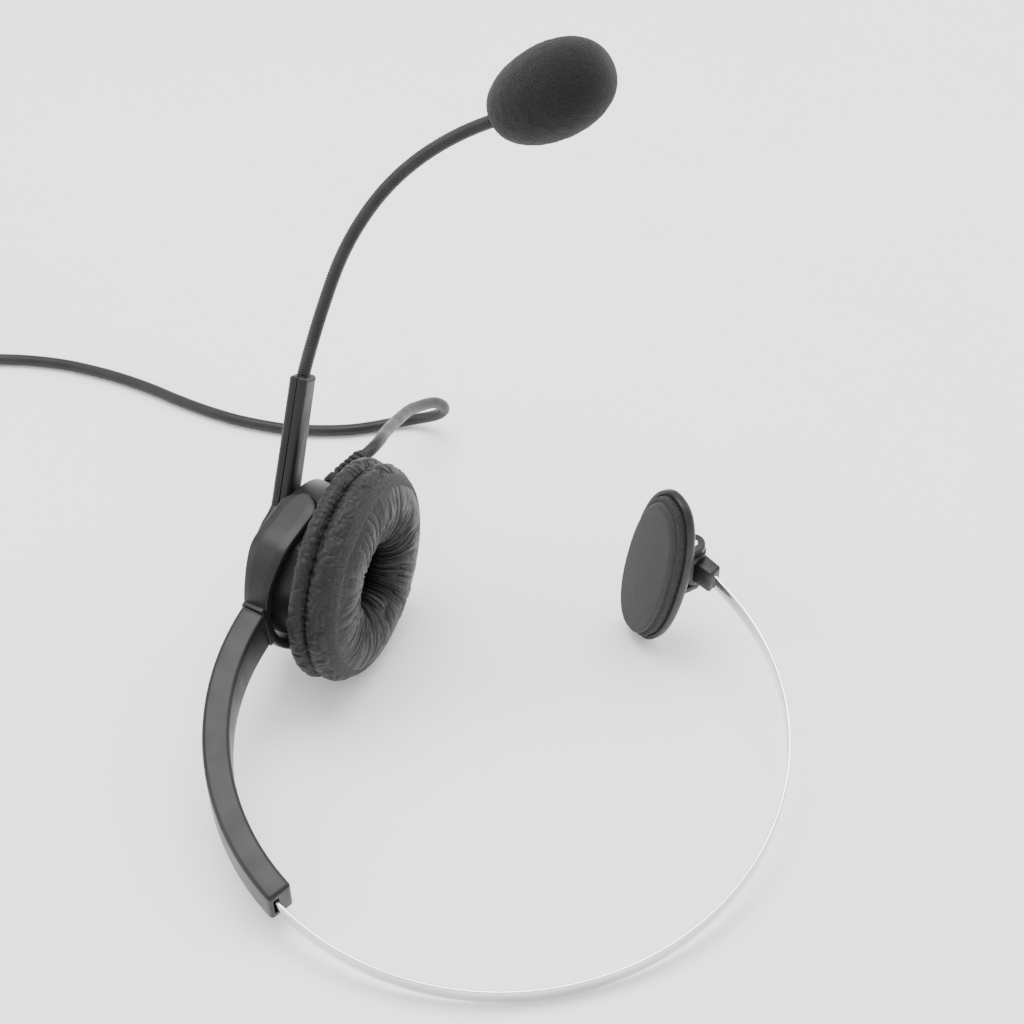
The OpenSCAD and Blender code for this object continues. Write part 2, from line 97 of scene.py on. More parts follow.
# the bendable neck: headings at its joints and the radius of each length between them
HOLDER_LENGTH = 47.4
HOLDER_MID = -13.9
NECK_DEPTH = 4
NECK_HEADING = [5.5, 12, 28, 46.5, 63]
NECK_BEND = [270, 74, 64, 76]
NECK = [BOOM @ move(HOLDER_LENGTH, 0, HOLDER_MID) @ turn(-NECK_HEADING[0], "Y")
        @ move(-NECK_DEPTH, 0, 0)]


def after_arc(radius, degrees):
    a = math.radians(degrees)
    return move(radius * math.sin(a), 0, radius * (1 - math.cos(a))) @ turn(-degrees, "Y")


for i in range(4):
    NECK.append(NECK[-1] @ after_arc(NECK_BEND[i], NECK_HEADING[i + 1] - NECK_HEADING[i]))

# ---------------------------------------------------------------- camera

CAMERA_HEIGHT = 53.8      # degrees above the band's plane
CAMERA_DISTANCE = 665     # millimetres, like the target in the band's frame
CAMERA_TARGET = (2.82, 67.57, 0)
LENS = 88.6

camera_data = bpy.data.cameras.new("camera")
camera_data.sensor_width = 36
camera_data.lens = LENS
camera_data.clip_start = 0.01
camera = bpy.data.objects.new("camera", camera_data)
bpy.context.collection.objects.link(camera)
camera.matrix_world = (BAND @ move(*CAMERA_TARGET) @ turn(90 - CAMERA_HEIGHT, "X")
                       @ move(0, 0, CAMERA_DISTANCE))
bpy.context.scene.camera = camera

# ---------------------------------------------------------------- mesh tools

SHARP_ANGLE = math.radians(38)      # a bend sharper than this is shaded as an edge


def build(name, points, faces, where=None):
    """A mesh object from points in millimetres, in the frame where."""
    where = where or Matrix.Identity(4)
    mesh = bpy.data.meshes.new(name)
    mesh.from_pydata([where @ (Vector(p) * MM) for p in points], [], faces)
    mesh.validate()
    mesh.update()
    mesh.polygons.foreach_set("use_smooth", [True] * len(mesh.polygons))
    mesh.set_sharp_from_angle(angle=SHARP_ANGLE)
    thing = bpy.data.objects.new(name, mesh)
    bpy.context.collection.objects.link(thing)
    return thing


def outward(thing):
    """Turns every face outwards."""
    b = bmesh.new()
    b.from_mesh(thing.data)
    bmesh.ops.recalc_face_normals(b, faces=b.faces)
    b.to_mesh(thing.data)
    b.free()
    thing.data.set_sharp_from_angle(angle=SHARP_ANGLE)
    return thing


def skin(rings, close_ends=True, loop=False, start_point=None, end_point=None):
    """Points and faces of a surface through closed rings of equal size."""
    points = [p for ring in rings for p in ring]
    n, m = len(rings), len(rings[0])
    faces = []
    for i in range(n if loop else n - 1):
        j = (i + 1) % n
        for k in range(m):
            l = (k + 1) % m
            faces.append((i * m + k, i * m + l, j * m + l, j * m + k))
    if loop:
        return points, faces
    if start_point is not None:
        points.append(start_point)
        faces += [(len(points) - 1, (k + 1) % m, k) for k in range(m)]
    elif close_ends:
        faces.append(tuple(range(m - 1, -1, -1)))
    if end_point is not None:
        points.append(end_point)
        base = (n - 1) * m
        faces += [(len(points) - 1, base + k, base + (k + 1) % m) for k in range(m)]
    elif close_ends:
        base = (n - 1) * m
        faces.append(tuple(base + k for k in range(m)))
    return points, faces


def rounded(corners, radius, steps=4, closed=True):
    """A flat outline with its corners rounded; radius is a number, or one for each corner."""
    out = []
    count = len(corners)
    for i, c in enumerate(corners):
        r = radius[i] if isinstance(radius, (list, tuple)) else radius
        if r == 0 or (not closed and i in (0, count - 1)):
            out.append(tuple(c))
            continue
        c = Vector(c)
        a, b = Vector(corners[i - 1]), Vector(corners[(i + 1) % count])
        before, after = a - c, b - c
        bend = before.angle(after)
        cut = min(r / math.tan(bend / 2), 0.49 * before.length, 0.49 * after.length)
        p, q = c + before.normalized() * cut, c + after.normalized() * cut
        for k in range(steps + 1):
            t = k / steps
            weight = 2 * t * (1 - t) * math.cos((math.pi - bend) / 2)
            total = (1 - t) ** 2 + weight + t ** 2
            out.append(tuple((p * (1 - t) ** 2 + c * weight + q * t ** 2) / total))
    return out


def revolve(name, profile, where, steps=96, closed=False):
    """Turns a profile of (radius, height) about the frame's z axis."""
    rings = []
    ends = [None, None]
    for index, (r, z) in enumerate(profile):
        if r < 1e-6 and not closed:
            ends[0 if index == 0 else 1] = (0, 0, z)
            continue
        rings.append([(r * math.cos(2 * math.pi * k / steps), r * math.sin(2 * math.pi * k / steps), z)
                      for k in range(steps)])
    points, faces = skin(rings, loop=closed, start_point=ends[0], end_point=ends[1])
    return outward(build(name, points, faces, where))


def inset(outline, amount):
    """The closed outline, moved inwards by amount; it runs anticlockwise."""
    out = []
    n = len(outline)
    for i in range(n):
        a, b = Vector(outline[i - 1]), Vector(outline[(i + 1) % n])
        d = (b - a).normalized()
        out.append((outline[i][0] - d.y * amount, outline[i][1] + d.x * amount))
    return out


def plate(name, outline, low, high, edge, where, steps=4, crown=0.0, soft_low=None):
    """A flat piece with that outline and rounded edges; crown lifts the middle of its top."""
    lower = edge if soft_low is None else soft_low
    layers = []
    for k in range(steps + 1):
        a = math.pi / 2 * k / steps
        layers.append((lower * (1 - math.sin(a)), low + lower * (1 - math.cos(a))))
    for k in range(steps + 1):
        a = math.pi / 2 * k / steps
        layers.append((edge * (1 - math.cos(a)), high - edge * (1 - math.sin(a))))
    rings = [[(x, y, z) for x, y in inset(outline, amount)] for amount, z in layers]
    cx = sum(p[0] for p in outline) / len(outline)
    cy = sum(p[1] for p in outline) / len(outline)
    if crown:
        top = rings[-1]
        for k in range(1, 10):
            s = 1 - k / 10
            rings.append([(cx + (x - cx) * s, cy + (y - cy) * s, high + crown * (1 - s * s))
                          for x, y, z in top])
        points, faces = skin(rings, end_point=(cx, cy, high + crown))
    else:
        points, faces = skin(rings)
    return outward(build(name, points, faces, where))


def smooth_route(route, steps):
    """A Catmull-Rom curve through the points."""
    p = [Vector(q) for q in route]
    out = []
    for i in range(len(p) - 1):
        a, b, c, d = p[max(i - 1, 0)], p[i], p[i + 1], p[min(i + 2, len(p) - 1)]
        for k in range(steps):
            t = k / steps
            out.append(b + (c - a) * (t / 2) + (2 * a - 5 * b + 4 * c - d) * (t * t / 2)
                       + (3 * b - a - 3 * c + d) * (t ** 3 / 2))
    out.append(p[-1])
    return out


def tube(name, path, radius, where=None, sides=16):
    """A tube along path; radius is a number or a function of (index, distance, angle)."""
    where = where or Matrix.Identity(4)
    rings = []
    up = Vector((0, 0, 1))
    distance = 0
    normal = None
    for i, p in enumerate(path):
        ahead = (path[min(i + 1, len(path) - 1)] - path[max(i - 1, 0)]).normalized()
        if normal is None:
            normal = (up - ahead * up.dot(ahead)).normalized()
        normal = (normal - ahead * normal.dot(ahead)).normalized()
        side = ahead.cross(normal)
        if i:
            distance += (p - path[i - 1]).length
        ring = []
        for k in range(sides):
            a = 2 * math.pi * k / sides
            r = radius(i, distance, a) if callable(radius) else radius
            ring.append(tuple(p + normal * (r * math.cos(a)) + side * (r * math.sin(a))))
        rings.append(ring)
    points, faces = skin(rings)
    return outward(build(name, points, faces, where))


def joined(name, parts):
    """One object from several."""
    b = bmesh.new()
    for part in parts:
        b.from_mesh(part.data)
        bpy.data.objects.remove(part)
    mesh = bpy.data.meshes.new("joined")
    b.to_mesh(mesh)
    b.free()
    mesh.set_sharp_from_angle(angle=SHARP_ANGLE)
    mesh.polygons.foreach_set("use_smooth", [True] * len(mesh.polygons))
    thing = bpy.data.objects.new("joined", mesh)
    bpy.context.collection.objects.link(thing)
    thing.name = mesh.name = name
    return thing


def boolean(thing, other, operation):
    """Cuts other from thing, or adds it, and removes other."""
    modifier = thing.modifiers.new("cut", "BOOLEAN")
    modifier.object = other
    modifier.operation = operation
    modifier.solver = "EXACT"
    bpy.context.view_layer.update()
    shape = thing.evaluated_get(bpy.context.evaluated_depsgraph_get())
    mesh = bpy.data.meshes.new_from_object(shape)
    thing.modifiers.clear()
    thing.data = mesh
    mesh.polygons.foreach_set("use_smooth", [True] * len(mesh.polygons))
    mesh.set_sharp_from_angle(angle=SHARP_ANGLE)
    bpy.data.objects.remove(other)
    return thing


# ---------------------------------------------------------------- cord

CORD_RADIUS = 1.65
CORD_ROUTE = [
    (-34.5, 60.05, 43.6), (-32.2, 63.2, 43.8), (-30.8, 68, 42.2), (-30, 74, 39.3),
    (-29, 81, 35.5), (-28, 87, 32.3), (-26.5, 94, 28.7), (-24.7, 100.8, 25.2),
    (-22.5, 106.2, 21.9), (-20.2, 111, 18.9), (-18.2, 114.5, 16.2), (-16.6, 117, 13.2),
    (-16.2, 118.7, 10.4), (-17.1, 120, 8), (-19, 121.2, 6), (-21.6, 122.4, 4.3),
    (-24.6, 123.3, 3), (-28.2, 123.6, 2.1), (-32, 123.2, 1.7), (-38.4, 121.6, 1.7),
    (-45, 120.6, 1.7), (-53, 120.6, 1.7), (-60, 121.3, 1.7), (-66, 122.4, 1.7),
    (-77.5, 126.2, 1.7), (-88, 131.3, 1.7), (-97, 136.6, 1.7), (-104, 141.2, 1.7),
    (-113, 146.3, 1.7), (-122, 150.5, 1.7), (-133, 154.5, 1.7), (-145, 157, 1.7),
    (-158, 158, 1.7), (-170, 157.6, 1.7), (-184, 157, 1.7)]
TAIL_ROUTE = [(-215.4, 189, 4.7), (-215.2, 194, 4.3), (-215, 199, 4.1), (-215, 202, 4)]
COIL_CENTRE = (-192, 180)
# the wound turns: (turns so far, radius, height), in three rows that lie on each other
COIL_TURNS = [
    (0, 23.1, 1.7), (1, 19.7, 1.7), (2, 16.3, 1.7), (3, 12.9, 1.7), (3.25, 12.3, 3),
    (3.5, 12.3, 4.3), (3.75, 13, 5), (4, 14.6, 5), (5, 18, 5), (6, 21.3, 5),
    (6.25, 21.4, 6.3), (6.5, 20.2, 7.6), (6.75, 18, 8.3), (7, 16.3, 8.3), (7.5, 18.4, 8.3),
    (7.9, 20.7, 8.1), (8.1, 22.4, 6.6), (8.25, 23.3, 5.0)]
TURN_POINTS = 16


def coil_points():
    """The route round the coil, clockwise seen from above, from its near side."""
    out = []
    total = COIL_TURNS[-1][0]
    for n in range(1, int(total * TURN_POINTS) + 1):
        t = n / TURN_POINTS
        for a, b in zip(COIL_TURNS, COIL_TURNS[1:]):
            if a[0] <= t <= b[0]:
                s = (t - a[0]) / (b[0] - a[0])
                r, z = a[1] + s * (b[1] - a[1]), a[2] + s * (b[2] - a[2])
        angle = -math.pi / 2 - 2 * math.pi * t
        out.append((COIL_CENTRE[0] + r * math.cos(angle), COIL_CENTRE[1] + r * math.sin(angle), z))
    return out


whole_route = CORD_ROUTE + coil_points() + TAIL_ROUTE
cord_path = smooth_route(whole_route, 4)
cord = tube("cord_line", cord_path, CORD_RADIUS, sides=14)
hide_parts("cord", "cord_coil", "cord_tail")
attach(cord, "ear_cup")

# ---------------------------------------------------------------- materials


class Shader:
    """A small helper for node materials. Texture scales are per metre."""

    def __init__(self, name):
        self.material = bpy.data.materials.new(name)
        self.material.use_nodes = True
        self.tree = self.material.node_tree
        self.shader = self.tree.nodes["Principled BSDF"]
        self.coordinates = self.node("ShaderNodeTexCoord").outputs["Object"]
        self.height = None

    def node(self, kind, **values):
        node = self.tree.nodes.new(kind)
        for key, value in values.items():
            setattr(node, key, value)
        return node

    def link(self, a, b):
        self.tree.links.new(a, b)

    def set(self, **values):
        for key, value in values.items():
            self.shader.inputs[key.replace("_", " ")].default_value = value
        return self

    def stretched(self, x, y, z):
        mapping = self.node("ShaderNodeMapping")
        mapping.inputs["Scale"].default_value = (x, y, z)
        self.link(self.coordinates, mapping.inputs["Vector"])
        return mapping.outputs["Vector"]

    def noise(self, scale, detail=3, distortion=0, roughness=0.5, where=None):
        node = self.node("ShaderNodeTexNoise")
        node.inputs["Scale"].default_value = scale
        node.inputs["Detail"].default_value = detail
        node.inputs["Distortion"].default_value = distortion
        node.inputs["Roughness"].default_value = roughness
        self.link(where or self.coordinates, node.inputs["Vector"])
        return node.outputs["Fac"]

    def cells(self, scale, feature="F1", where=None):
        node = self.node("ShaderNodeTexVoronoi", feature=feature)
        node.inputs["Scale"].default_value = scale
        self.link(where or self.coordinates, node.inputs["Vector"])
        return node.outputs["Distance"]

    def spread(self, value, low, high, start=0.3, end=0.7):
        node = self.node("ShaderNodeMapRange")
        node.inputs["From Min"].default_value = start
        node.inputs["From Max"].default_value = end
        node.inputs["To Min"].default_value = low
        node.inputs["To Max"].default_value = high
        self.link(value, node.inputs["Value"])
        return node.outputs["Result"]

    def math(self, operation, a, b):
        node = self.node("ShaderNodeMath", operation=operation)
        for socket, value in zip(node.inputs, (a, b)):
            if isinstance(value, (int, float)):
                socket.default_value = value
            else:
                self.link(value, socket)
        return node.outputs["Value"]

    def colours(self, value, dark, light, start=0.3, end=0.7):
        node = self.node("ShaderNodeValToRGB")
        node.color_ramp.elements[0].position = start
        node.color_ramp.elements[1].position = end
        node.color_ramp.elements[0].color = (*dark, 1)
        node.color_ramp.elements[1].color = (*light, 1)
        self.link(value, node.inputs["Fac"])
        self.link(node.outputs["Color"], self.shader.inputs["Base Color"])
        return node.outputs["Color"]

    def rough(self, value, low, high, start=0.3, end=0.7):
        self.link(self.spread(value, low, high, start, end), self.shader.inputs["Roughness"])

    def bump(self, value, distance, strength=1.0):
        node = self.node("ShaderNodeBump")
        node.inputs["Distance"].default_value = distance
        node.inputs["Strength"].default_value = strength
        self.link(value, node.inputs["Height"])
        if self.height:
            self.link(self.height, node.inputs["Normal"])
        self.height = node.outputs["Normal"]
        self.link(self.height, self.shader.inputs["Normal"])

    def painted_edge_highlights(self, colour, amount_low=0.52, amount_high=0.60, share=0.35):
        """Mixes a paler colour in along the convex edges: a painted highlight."""
        geometry = self.node("ShaderNodeNewGeometry")
        fac = self.math("MULTIPLY", self.spread(geometry.outputs["Pointiness"], 0, share,
                                                amount_low, amount_high),
                        self.spread(self.noise(420, 5), 0.2, 1))
        mix = self.node("ShaderNodeMix", data_type="RGBA")
        base = self.shader.inputs["Base Color"]
        self.link(fac, mix.inputs["Factor"])
        self.link(base.links[0].from_socket, mix.inputs["A"])
        mix.inputs["B"].default_value = (*colour, 1)
        self.link(mix.outputs["Result"], base)


def moulded_plastic(name, dark, light, low, high, grain=0.000012):
    """Black plastic from a tool with a fine spark-eroded texture, with a painted highlight along its
    edges.
    """
    s = Shader(name).set(Specular_IOR_Level=0.26)
    cloud = s.noise(60, 3)
    s.colours(cloud, dark, light)
    s.rough(s.noise(140, 4), low, high)
    s.bump(s.noise(5200, 2), grain)
    s.bump(s.noise(45, 2), 0.00004)
    s.bump(s.noise(260, 6, 0.4, 0.7, s.stretched(1, 1, 14)), 0.000008)
    # a painted highlight: a paler colour mixed in along the convex edges
    s.painted_edge_highlights((0.055, 0.055, 0.058))
    return s.material


PLASTIC = moulded_plastic("moulded_plastic", (0.0085, 0.0085, 0.0095),
                          (0.0125, 0.0125, 0.0135), 0.30, 0.42)
INNER_PLASTIC = moulded_plastic("inner_plastic", (0.012, 0.012, 0.012),
                                (0.02, 0.02, 0.02), 0.45, 0.6)


def chrome():
    """A bright chromed strip, with fine drawing marks along it."""
    s = Shader("chromed_steel").set(Metallic=1.0)
    s.colours(s.noise(35, 3), (0.66, 0.67, 0.69), (0.80, 0.81, 0.83))
    s.rough(s.noise(190, 6, 0.6, 0.75), 0.05, 0.19)
    s.bump(s.noise(900, 5, 0, 0.7, s.stretched(1, 1, 0.12)), 0.000006)
    s.bump(s.noise(30, 2), 0.00003)
    return s.material


def steel(name, dark, light, low, high):
    """Bare or plated metal; low and high are its roughness."""
    s = Shader(name).set(Metallic=1.0)
    s.colours(s.noise(300, 4), dark, light)
    s.rough(s.noise(700, 5, 0, 0.7), low, high)
    s.bump(s.noise(2600, 3, 0, 0.6, s.stretched(1, 1, 8)), 0.000006)
    return s.material


def leatherette():
    """Thin black leatherette: a pebbled grain with small creases between the large wrinkles."""
    s = Shader("leatherette").set(Specular_IOR_Level=0.27, Sheen_Weight=0.03, Sheen_Roughness=0.4)
    s.colours(s.noise(140, 5), (0.0065, 0.0065, 0.007), (0.0125, 0.0122, 0.012))
    s.rough(s.noise(330, 6, 0.3, 0.65), 0.36, 0.56)
    creases = s.cells(520, "DISTANCE_TO_EDGE")
    s.bump(s.spread(creases, 0, 1, 0, 0.16), 0.00007, 0.7)
    s.bump(s.noise(900, 6, 1.4, 0.7), 0.00016, 0.75)
    s.bump(s.cells(3200), 0.00003, 0.5)
    return s.material


def open_foam(name, dark, light, cell, depth, sheen):
    """Open-cell foam, with a nap that catches light at its edge."""
    s = Shader(name).set(Specular_IOR_Level=0.12, Sheen_Weight=sheen, Sheen_Roughness=0.55)
    s.colours(s.cells(cell), dark, light, 0.1, 0.65)
    s.rough(s.noise(cell / 3, 2), 0.92, 1.0)
    s.bump(s.cells(cell), depth, 0.9)
    s.bump(s.noise(cell * 2.3, 4, 0, 0.8), depth * 0.7, 0.9)
    s.bump(s.noise(170, 3), 0.0002, 0.5)
    return s.material


def rubber(name, dark, light, low, high):
    """Soft rubber or a plastic jacket; low and high are its roughness."""
    s = Shader(name).set(Specular_IOR_Level=0.28)
    s.colours(s.noise(120, 4), dark, light)
    s.rough(s.noise(260, 4), low, high)
    s.bump(s.noise(3800, 3), 0.000016)
    s.bump(s.noise(210, 3), 0.00006, 0.6)
    return s.material


CHROME = chrome()
STEEL = steel("spring_steel", (0.42, 0.42, 0.43), (0.6, 0.6, 0.61), 0.25, 0.42)
GOLD = steel("gold_plate", (0.72, 0.50, 0.19), (0.86, 0.64, 0.27), 0.14, 0.3)
LEATHERETTE = leatherette()
WINDSCREEN_FOAM = open_foam("windscreen_foam", (0.0035, 0.0035, 0.0038), (0.011, 0.011, 0.0115),
                            2300, 0.00016, 0.12)
PAD_FOAM = open_foam("pad_foam", (0.013, 0.012, 0.012), (0.034, 0.032, 0.031), 2000, 0.0002, 0.1)
PAD_FACE = open_foam("pad_face", (0.026, 0.025, 0.025), (0.037, 0.035, 0.035), 2900, 0.00007, 0.12)
CORD_JACKET = rubber("cord_jacket", (0.010, 0.010, 0.011), (0.017, 0.017, 0.018), 0.34, 0.48)
SOFT_RUBBER = rubber("soft_rubber", (0.009, 0.009, 0.009), (0.015, 0.015, 0.015), 0.5, 0.66)
NECK_SLEEVE = rubber("neck_sleeve", (0.010, 0.010, 0.011), (0.018, 0.018, 0.019), 0.3, 0.44)
CONE_FILM = rubber("cone_film", (0.03, 0.03, 0.032), (0.05, 0.05, 0.05), 0.35, 0.5)


def finish(thing, material, slot, body=None, *replaced):
    """Gives a piece its material, its body and the CAD nodes that it stands for; slot is not used."""
    thing.data.materials.clear()
    thing.data.materials.append(material)
    if body:
        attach(thing, body)
    if replaced:
        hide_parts(*replaced)
    return thing


cord.data.materials.append(CORD_JACKET)

# the CAD nodes that keep their own shape
for node, material in {
        "strip_stop": STEEL, "drag_spring": STEEL, "swivel_pin": STEEL, "yoke_pivot_pins": STEEL,
        "driver_frame": INNER_PLASTIC, "driver_magnet": STEEL,
        "driver_cone": CONE_FILM, "boom_pivot": STEEL, "friction_washer": STEEL,
        "mic_housing": PLASTIC, "mic_capsule": STEEL, "pad_pin": STEEL}.items():
    item = frame["nodes"][node]
    if not item.data.materials:
        item.data.materials.append(material)
    for place_in_list in range(len(item.material_slots)):
        item.material_slots[place_in_list].link = "OBJECT"
        item.material_slots[place_in_list].material = material

# ---------------------------------------------------------------- headband

BAND_RADIUS = 71.4
STRIP_TAIL_ANGLE = 182
STRIP_WIDTH = 5
STRIP_THICKNESS = 0.8


def round_bar(half_u, half_v, radius, steps=3):
    """A rounded rectangle as a list of (u, v)."""
    return rounded([(-half_u, -half_v), (half_u, -half_v), (half_u, half_v), (-half_u, half_v)],
                   radius, steps)


def bent(angle, u, v, radius=BAND_RADIUS):
    """A point at that direction round the band's centre, u outwards and v along its normal."""
    a = math.radians(angle)
    return ((radius + u) * math.cos(a), (radius + u) * math.sin(a), v)


strip_rings = []
strip_end = 360 + STRIP_END_ANGLE - 1.6
strip_count = 190
for n in range(strip_count + 1):
    angle = STRIP_TAIL_ANGLE + (strip_end - STRIP_TAIL_ANGLE) * n / strip_count
    strip_rings.append([bent(angle, u, v) for u, v in
                        round_bar(STRIP_THICKNESS / 2, STRIP_WIDTH / 2, 0.3)])
strip = outward(build("headband_strip_polished", *skin(strip_rings), BAND))
finish(strip, CHROME, "chrome", "band", "headband_strip")

# ---------------------------------------------------------------- arm

ARM_RADIUS = 70
ARM_HALF = 3.4
ARM_MOUTH_ANGLE = 222.3
ARM_JOINT_ANGLE = 153.3
ARM_EDGE = 1.05
SWIVEL = frame_from(place("yoke_swivel"), Vector(BAND.col[2][:3]), axis("yoke_swivel"))


def arm_half_height(angle):
    y = ARM_RADIUS * math.sin(math.radians(angle))
    share = (min(34, y) + 50) / 84
    return 5 + share * 2.4


def arm_ring(angle, shrink):
    half = arm_half_height(angle)
    return [bent(angle, u, v, ARM_RADIUS) for u, v in
            round_bar(ARM_HALF - shrink, half - shrink, max(ARM_EDGE - shrink, 0.2), 5)]


def joint_ring(ring, gap):
    """The ring carried along the band's curve to the joint's plane, gap short of it."""
    out = []
    for x, y, z in ring:
        r = math.hypot(x, y)
        low, high = math.radians(145), math.radians(165)
        for _ in range(30):
            mid = (low + high) / 2
            p = SWIVEL.inverted() @ (BAND @ (Vector((r * math.cos(mid), r * math.sin(mid), z)) * MM))
            if p.z > -gap * MM:
                low = mid
            else:
                high = mid
        out.append((r * math.cos(mid), r * math.sin(mid), z))
    return out


arm_rings = [joint_ring(arm_ring(ARM_JOINT_ANGLE + 1, s), g) for s, g in
             ((0.28, 0.12), (0.08, 0.2), (0, 0.4))]
arm_steps = 60
for n in range(arm_steps + 1):
    along = (ARM_MOUTH_ANGLE - ARM_JOINT_ANGLE - 2) * n / arm_steps
    arm_rings.append(arm_ring(ARM_JOINT_ANGLE + 1.2 + along, 0))
for n in range(1, 6):
    a = math.pi / 2 * n / 5
    arm_rings.append(arm_ring(ARM_MOUTH_ANGLE - 0.8 + 0.8 * math.sin(a), 0.9 * (1 - math.cos(a))))
arm = outward(build("arm_moulding", *skin(arm_rings), BAND))
slot_rings = [[bent(a, u, v) for u, v in round_bar(0.85, 2.95, 0.3)] for a in
              (206, 209, 212, 215, 218, 220, 222, 224)]
arm = boolean(arm, outward(build("slot_cut", *skin(slot_rings), BAND)), "DIFFERENCE")
finish(arm, PLASTIC, "black_plastic", "arm", "arm")

# ---------------------------------------------------------------- yoke

YOKE_INNER = 21.2
YOKE_OUTER = 23.55
YOKE_MIDDLE = (YOKE_INNER + YOKE_OUTER) / 2
YOKE_SHIFT = 1          # the ring's centre lies this far towards the arm from the tilt axis
YOKE_FACE = 24.55       # where the yoke ends and the arm begins
TINE_INNER = 18.1
TINE_OUTER = 20.45
TINE_HALF = 5.15
BASE_HALF = 3.45
TINE_BEND = 2.2         # the length over which the ring bends into the straight tine
TINE_EASE = 0.55


def tine_width(y):
    """Half the yoke's height at that y: a round tip, a wide tine and a narrower base."""
    if y < 0:
        return math.sqrt(max(TINE_HALF ** 2 - y * y, 0.0))
    if y < 12:
        return TINE_HALF
    s = min((y - 12) / 12.5, 1)
    s = s * s * (3 - 2 * s)
    return TINE_HALF + (BASE_HALF - TINE_HALF) * s


def yoke_middle(a):
    """The middle of the yoke's wall: a circle, and straight along the tines."""
    x, y = YOKE_MIDDLE * math.cos(a), YOKE_SHIFT + YOKE_MIDDLE * math.sin(a)
    limit = (TINE_INNER + TINE_OUTER) / 2
    near = max(0.0, 1 - abs(limit - abs(x)) / TINE_BEND)
    flat = min(abs(x), limit) - TINE_EASE * near * near
    return Vector((math.copysign(flat, x), y, 0))


tip_angle = math.asin((-TINE_HALF - YOKE_SHIFT) / YOKE_MIDDLE)
yoke_span = math.pi - 2 * tip_angle
yoke_rings = []
ring_count = 110
for n in range(ring_count + 1):
    t = n / ring_count
    if t < 0.12:        # the rings lie closer together towards the round tips
        s = 0.12 * (1 - math.cos(math.pi / 2 * t / 0.12))
    elif t > 0.88:
        s = 1 - 0.12 * (1 - math.cos(math.pi / 2 * (1 - t) / 0.12))
    else:
        s = t
    a = tip_angle + yoke_span * s
    width = max(tine_width(YOKE_SHIFT + YOKE_MIDDLE * math.sin(a)), 0.25)
    half = (YOKE_OUTER - YOKE_INNER) / 2
    corner = min(0.75, 0.8 * width)
    crown = 0.22
    section = rounded([(-half, -width), (half - crown, -width), (half, -0.5 * width),
                       (half, 0.5 * width), (half - crown, width), (-half, width)],
                      [0.3, corner, 0.8, 0.8, corner, 0.3] if width > 1.2 else 0.05, 4)
    middle = yoke_middle(a)
    along = (yoke_middle(a + 0.01) - yoke_middle(a - 0.01)).normalized()
    yoke_rings.append([tuple(middle + Vector((along.y * u, -along.x * u, v))) for u, v in section])
yoke = outward(build("yoke_moulding", *skin(yoke_rings), YOKE))
block_rings = []
for shrink, y in ((0, 17), (0, 23.9), (0, 24.3), (0.08, 24.45), (0.28, YOKE_FACE)):
    block_rings.append([(u, y, v) for u, v in
                        round_bar(7.4 - shrink, ARM_HALF - shrink, max(ARM_EDGE - shrink, 0.2), 5)])
block = outward(build("yoke_block", *skin(block_rings), YOKE))
bore = revolve("yoke_bore", [(0, -12), (YOKE_INNER + 0.02, -12), (YOKE_INNER + 0.02, 12), (0, 12)],
               YOKE @ move(0, YOKE_SHIFT, 0), 128)
block = boolean(block, bore, "DIFFERENCE")
yoke = boolean(yoke, block, "UNION")
finish(yoke, PLASTIC, "black_plastic", "yoke", "yoke")

# ---------------------------------------------------------------- ear cup

HOLLOW_FLAT = 16.3      # half the width between the two flat inner walls
POCKET_FLAT = 17.8      # half the width between the two pockets' floors
POCKET_RADIUS = 5.4
SOUND_HOLE = 1.4

housing_profile = rounded(
    [(3.1, 3.5), (3.1, -11), (17.2, -11), (20.5, -8), (20.5, 0.7), (21.5, 1.2), (21.6, 2.2),
     (21.15, 2.6), (21.6, 3.0), (21.6, 3.5)],
    [0.1, 0.3, 1.0, 1.2, 0.5, 0.35, 0.25, 0.15, 0.15, 0.1], 4)
housing = revolve("housing_shell", housing_profile, EAR, 192, closed=True)
hollow_rings = []
for r, z in ((16.6, -9.4), (18.9, -7.4), (18.9, 6)):
    hollow_rings.append([(max(-HOLLOW_FLAT, min(HOLLOW_FLAT, r * math.cos(2 * math.pi * k / 128))),
                          r * math.sin(2 * math.pi * k / 128), z) for k in range(128)])
housing = boolean(housing, outward(build("hollow", *skin(hollow_rings), EAR)), "DIFFERENCE")
# the pockets that the tines lie and turn in
for side in (-1, 1):
    pocket = [(POCKET_RADIUS * math.sin(t), POCKET_RADIUS * math.cos(t)) for t in
              (-math.pi * k / 24 for k in range(25))]
    pocket += [(16, -10.05), (16, 9.15)]
    pocket_rings = [[(side * x, y, z) for y, z in pocket] for x in (POCKET_FLAT, 30)]
    housing = boolean(housing, outward(build("pocket", *skin(pocket_rings), YOKE)), "DIFFERENCE")
finish(housing, PLASTIC, "black_plastic", "ear_cup", "housing")

front_plate = revolve("front_plate_moulding", rounded(
    [(0, 5.3), (18.8, 5.3), (18.8, 3.6), (28.6, 3.6), (28.6, 6.6), (0, 6.6)],
    [0, 0.2, 0.2, 0.3, 0.3, 0], 4), EAR, 128)
for n in range(7):
    spot = EAR @ turn(60 * n, "Z") @ move(7 if n < 6 else 0, 0, 0)
    hole = revolve("hole", [(0, 4), (SOUND_HOLE, 4), (SOUND_HOLE, 8), (0, 8)], spot, 32)
    front_plate = boolean(front_plate, hole, "DIFFERENCE")
finish(front_plate, INNER_PLASTIC, "black_plastic", "ear_cup", "speaker_baffle")

